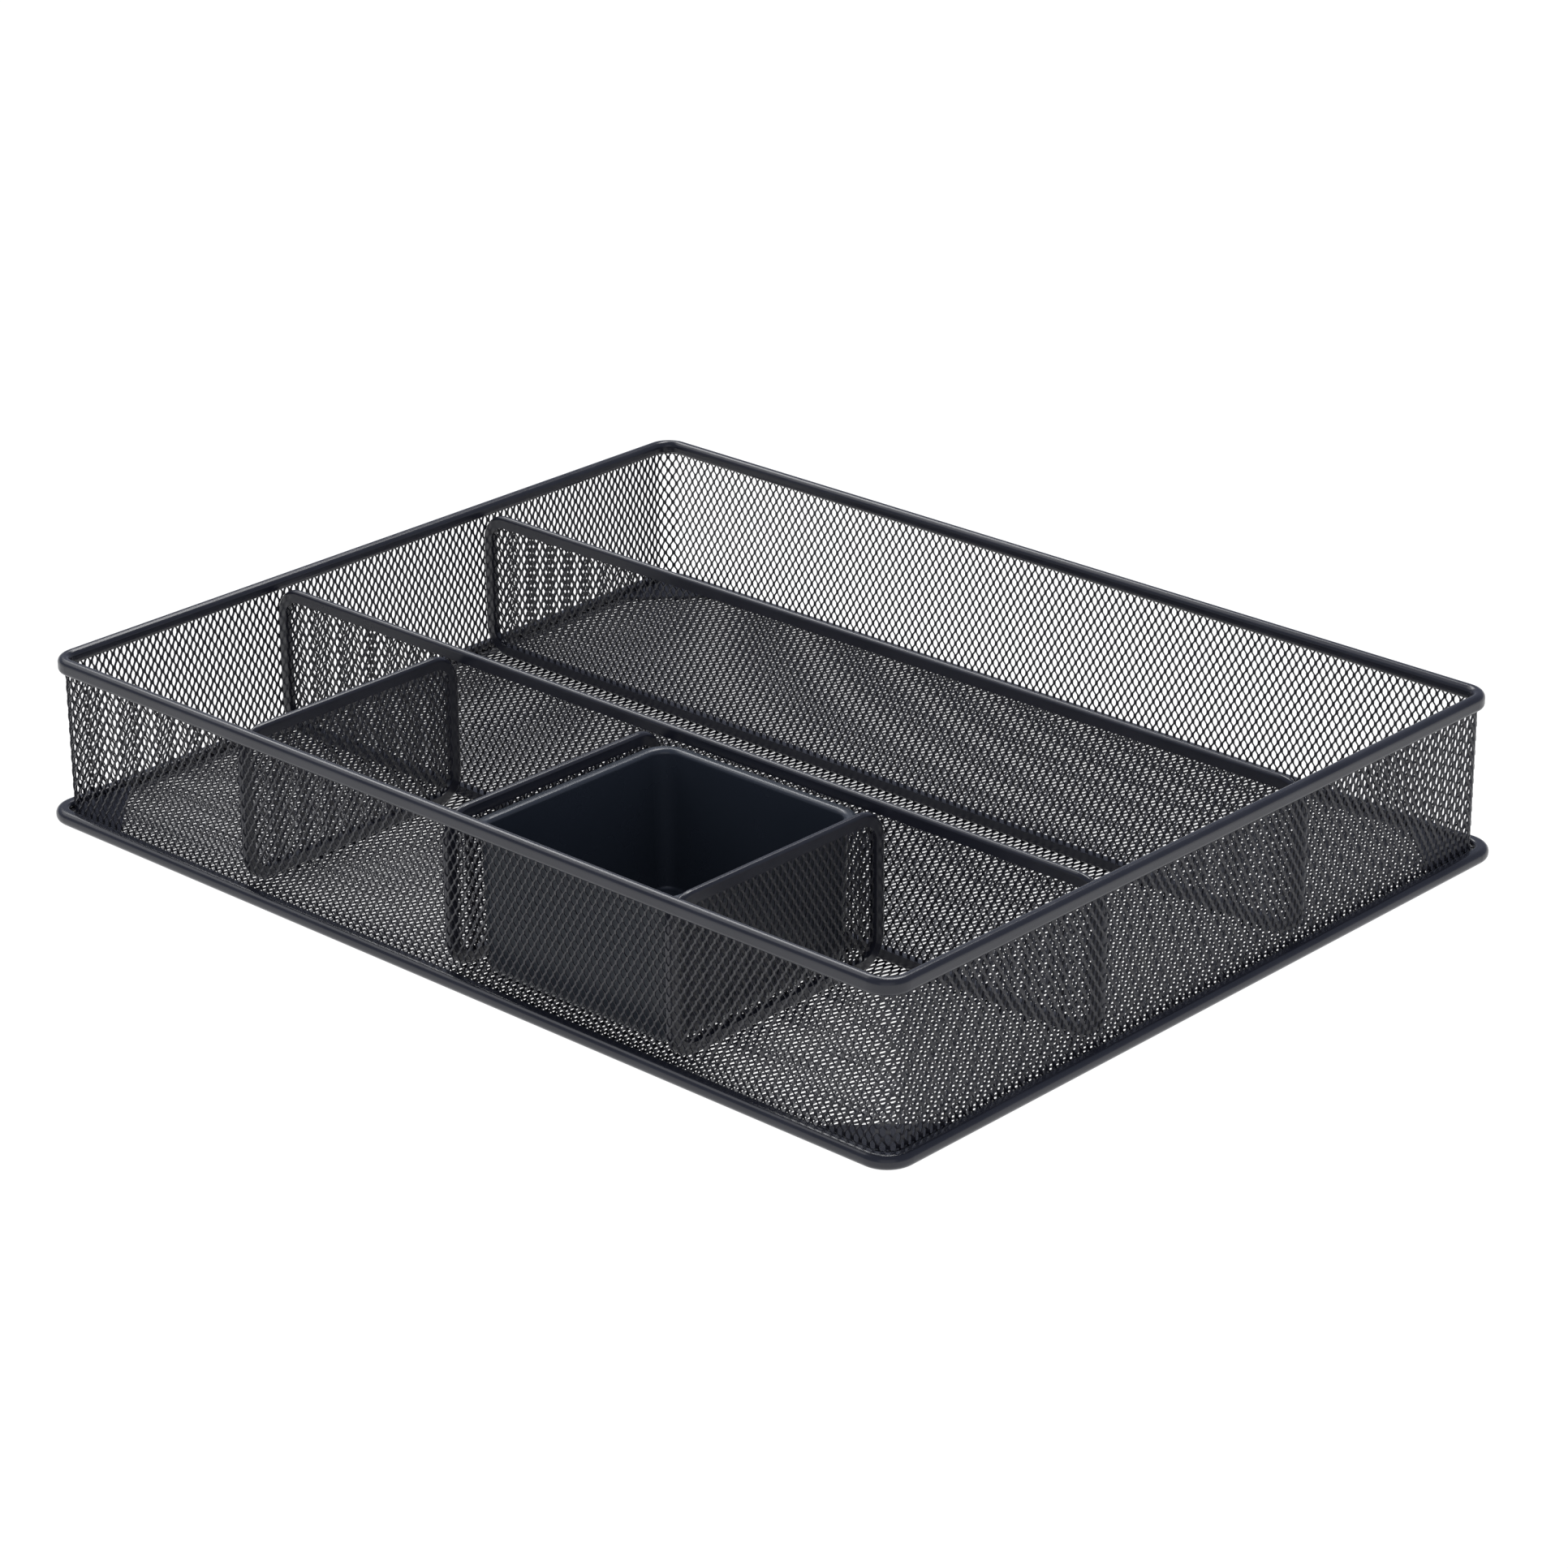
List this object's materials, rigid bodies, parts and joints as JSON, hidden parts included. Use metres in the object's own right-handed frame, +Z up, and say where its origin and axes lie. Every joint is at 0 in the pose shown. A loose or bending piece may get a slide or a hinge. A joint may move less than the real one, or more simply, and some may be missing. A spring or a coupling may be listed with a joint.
{
  "type": "drawer organizer",
  "caption": "Shallow black mesh drawer tray with long and short compartments, rolled steel rims and a loose lift-out plastic bin.",
  "frame": {"origin": "centre of the footprint, on the surface that the tray rests on", "axes": "+X along the long side, +Y from the front row of small compartments to the rear, +Z up"},
  "size_m": [0.387, 0.308, 0.0602],
  "materials": {
    "rolled_steel": "black powder coat, semi-gloss",
    "expanded_mesh": "black powder coat on expanded steel mesh, semi-gloss",
    "bin_plastic": "black moulded plastic, satin"
  },
  "bodies": {
    "tray": {"bottom_rim": "rolled_steel", "top_rim": "rolled_steel", "floor_mesh": "expanded_mesh", "wall_mesh": "expanded_mesh", "front_left_gusset": "rolled_steel", "front_right_gusset": "rolled_steel", "rear_left_gusset": "rolled_steel", "rear_right_gusset": "rolled_steel", "rear_divider_frame": "rolled_steel", "middle_divider_frame": "rolled_steel", "left_divider_frame": "rolled_steel", "centre_divider_frame": "rolled_steel", "right_divider_frame": "rolled_steel", "rear_divider_mesh": "expanded_mesh", "middle_divider_mesh": "expanded_mesh", "left_divider_mesh": "expanded_mesh", "centre_divider_mesh": "expanded_mesh", "right_divider_mesh": "expanded_mesh"},
    "bin": {"bin": "bin_plastic"}
  },
  "joints": [
    {"name": "bin_lift", "type": "slide", "parent": "tray", "child": "bin", "axis": [0, 0, 1], "range_m": [0, 0.07]}
  ]
}
